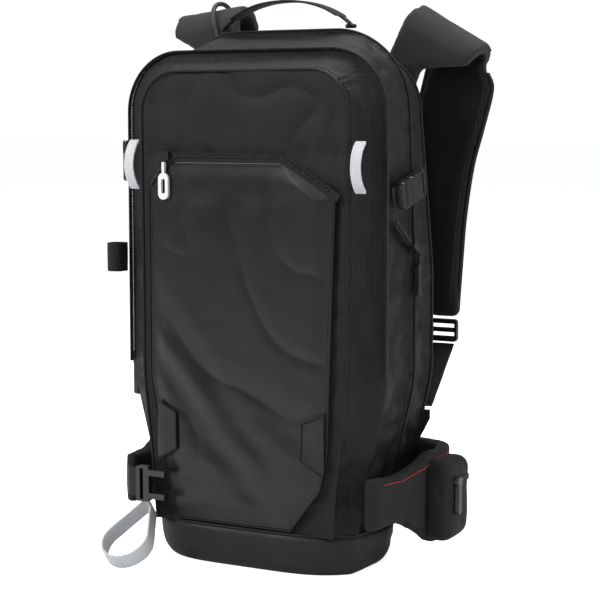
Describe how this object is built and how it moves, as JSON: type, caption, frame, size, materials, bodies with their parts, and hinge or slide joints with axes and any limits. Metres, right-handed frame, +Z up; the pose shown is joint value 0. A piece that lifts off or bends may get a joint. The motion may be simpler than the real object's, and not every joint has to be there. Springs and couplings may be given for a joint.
{
  "type": "avalanche airbag backpack",
  "caption": "Ski backpack with a gas airbag system, laminated front panel, padded straps, hip belt and white ski loops.",
  "frame": {"origin": "middle of the base, on the ground", "axes": "+Z up towards the haul loop, -Y out of the front panel away from the wearer, +X to the right seen from the front"},
  "size_m": [0.3838, 0.2952, 0.5823],
  "materials": {
    "ripstop": "fine ripstop weave with a slight sheen",
    "tarpaulin": "laminated cloth, satin, softly creased",
    "coated_base": "heavy coated cloth, matt",
    "back_foam": "moulded foam under spacer mesh",
    "strap_fabric": "close weave over foam, matt",
    "black_webbing": "flat woven webbing",
    "white_webbing": "stiff woven webbing",
    "white_pull": "moulded, soft gloss",
    "dark_plastic": "moulded acetal",
    "zip_tape": "water-resistant coil zip",
    "zip_metal": "black enamel",
    "frame_plastic": "thermoformed sheet",
    "aluminium": "brushed",
    "cylinder_paint": "satin enamel",
    "airbag_cloth": "coated nylon",
    "cable_jacket": "extruded jacket",
    "trigger_red": "moulded grip"
  },
  "bodies": {
    "root": {"back_panel": "back_foam", "base_panel": "coated_base", "folded_airbag": "airbag_cloth", "frame_sheet": "frame_plastic", "frame_stays": "aluminium", "front_panel": "tarpaulin", "front_shell": "ripstop", "front_zip": "zip_tape", "gas_cylinder": "cylinder_paint", "hex_patches": "tarpaulin", "hydration_sleeve": "ripstop", "inflator_body": "aluminium", "inflator_hose": "cable_jacket", "left_zip": "zip_tape", "main_shell": "ripstop", "main_zip": "zip_tape", "pocket_divider": "ripstop", "rear_shell": "ripstop", "shoulder_strap_left": "strap_fabric", "shoulder_strap_right": "strap_fabric", "side_buckle_male": "dark_plastic", "side_straps": "black_webbing", "side_zip": "zip_tape", "strap_anchors": "black_webbing", "strap_webbing": "black_webbing", "tool_loop": "black_webbing", "trigger_cable": "cable_jacket", "trigger_housing": "strap_fabric", "upper_ski_loops": "white_webbing"},
    "airbag_flap": {"airbag_flap": "ripstop"},
    "haul_loop": {"haul_loop": "black_webbing"},
    "lower_ski_loop": {"lower_ski_loop": "white_webbing"},
    "main_zip_slider": {"main_zip_slider": "zip_metal"},
    "front_zip_slider": {"front_zip_slider": "zip_metal"},
    "front_zip_pull": {"front_zip_pull": "white_pull"},
    "side_zip_slider": {"side_zip_slider": "zip_metal"},
    "side_zip_pull": {"side_zip_pull": "dark_plastic"},
    "left_zip_slider": {"left_zip_slider": "zip_metal"},
    "side_buckle_right": {"side_buckle_female_right": "dark_plastic"},
    "side_buckle_left": {"side_buckle_female_left": "dark_plastic"},
    "ladder_lock_right": {"ladder_lock_right": "dark_plastic"},
    "ladder_lock_left": {"ladder_lock_left": "dark_plastic"},
    "sternum_right": {"sternum_slider_right": "dark_plastic", "sternum_strap_right": "black_webbing", "sternum_socket": "dark_plastic"},
    "sternum_left": {"sternum_slider_left": "dark_plastic", "sternum_strap_left": "black_webbing", "sternum_plug": "dark_plastic"},
    "trigger_handle": {"trigger_handle": "trigger_red"},
    "firing_lever": {"firing_lever": "aluminium"},
    "firing_pin": {"firing_pin": "aluminium"},
    "hip_wing_right": {"hip_wing_right": "strap_fabric", "hip_webbing_right": "black_webbing", "hip_buckle_female": "dark_plastic", "hip_pocket": "strap_fabric", "hip_pocket_zip": "zip_tape"},
    "hip_wing_left": {"hip_wing_left": "strap_fabric", "hip_webbing_left": "black_webbing", "hip_buckle_male": "dark_plastic"},
    "hip_pocket_slider": {"hip_pocket_slider": "zip_metal"}
  },
  "joints": [
    {"name": "airbag_flap_hinge", "type": "hinge", "parent": "root", "child": "airbag_flap", "pos_m": [0, 0.05843, 0.52457], "axis": [-1, 0, 0], "range_deg": [0, 100]},
    {"name": "haul_loop_fold", "type": "hinge", "parent": "root", "child": "haul_loop", "pos_m": [0, 0.015, 0.546], "axis": [1, 0, 0], "range_deg": [-50, 50]},
    {"name": "lower_ski_loop_swing", "type": "hinge", "parent": "root", "child": "lower_ski_loop", "pos_m": [-0.11, -0.086, 0.049], "axis": [-1, 0, 0], "range_deg": [0, 50]},
    {"name": "main_zip_slide", "type": "slide", "parent": "root", "child": "main_zip_slider", "axis": [0, 0, -1], "range_m": [0, 0.06]},
    {"name": "front_zip_slide", "type": "slide", "parent": "root", "child": "front_zip_slider", "axis": [1, 0, 0], "range_m": [0, 0.12]},
    {"name": "front_pull_swing", "type": "hinge", "parent": "front_zip_slider", "child": "front_zip_pull", "pos_m": [-0.087, -0.0843, 0.409], "axis": [-1, 0, 0], "range_deg": [0, 90]},
    {"name": "side_zip_slide", "type": "slide", "parent": "root", "child": "side_zip_slider", "axis": [0.0329, -0.8381, 0.5445], "range_m": [0, 0.036]},
    {"name": "side_pull_swing", "type": "hinge", "parent": "side_zip_slider", "child": "side_zip_pull", "pos_m": [0.15077, 0.01526, 0.32125], "axis": [0, -1, 0], "range_deg": [0, 90]},
    {"name": "left_zip_slide", "type": "slide", "parent": "root", "child": "left_zip_slider", "axis": [0, 0, 1], "range_m": [0, 0.085]},
    {"name": "side_buckle_right_slide", "type": "slide", "parent": "root", "child": "side_buckle_right", "axis": [-0.0909, 0.9739, 0.2078], "range_m": [0, 0.022]},
    {"name": "side_buckle_left_slide", "type": "slide", "parent": "root", "child": "side_buckle_left", "axis": [0.0909, 0.9739, 0.2078], "range_m": [0, 0.022]},
    {"name": "ladder_lock_right_tilt", "type": "hinge", "parent": "root", "child": "ladder_lock_right", "pos_m": [0.128, 0.1263, 0.235], "axis": [1, 0, 0], "range_deg": [0, 30]},
    {"name": "ladder_lock_left_tilt", "type": "hinge", "parent": "root", "child": "ladder_lock_left", "pos_m": [-0.128, 0.1263, 0.235], "axis": [1, 0, 0], "range_deg": [0, 30]},
    {"name": "sternum_right_slide", "type": "slide", "parent": "root", "child": "sternum_right", "axis": [0, 0, 1], "range_m": [-0.03, 0.03]},
    {"name": "sternum_left_slide", "type": "slide", "parent": "root", "child": "sternum_left", "axis": [0, 0, 1], "range_m": [-0.03, 0.03]},
    {"name": "trigger_pull", "type": "slide", "parent": "root", "child": "trigger_handle", "axis": [0, 0, -1], "range_m": [0, 0.038]},
    {"name": "firing_lever_turn", "type": "hinge", "parent": "root", "child": "firing_lever", "pos_m": [-0.096, 0.028, 0.3632], "axis": [0, 1, 0], "range_deg": [0, 21]},
    {"name": "firing_pin_slide", "type": "slide", "parent": "root", "child": "firing_pin", "axis": [0, 0, -1], "range_m": [0, 0.005]},
    {"name": "hip_wing_right_swing", "type": "hinge", "parent": "root", "child": "hip_wing_right", "pos_m": [0.095, 0.0873, 0.071], "axis": [0, 0, 1], "range_deg": [0, 70]},
    {"name": "hip_wing_left_swing", "type": "hinge", "parent": "root", "child": "hip_wing_left", "pos_m": [-0.095, 0.0873, 0.071], "axis": [0, 0, -1], "range_deg": [0, 70]},
    {"name": "hip_pocket_zip_slide", "type": "slide", "parent": "hip_wing_right", "child": "hip_pocket_slider", "axis": [0, 1, 0], "range_m": [0, 0.024]}
  ],
  "couplings": [
    {"joint": "firing_lever_turn", "follows": "trigger_pull", "rad_per_m": 9.64},
    {"joint": "firing_pin_slide", "follows": "trigger_pull", "ratio": 0.1315}
  ]
}
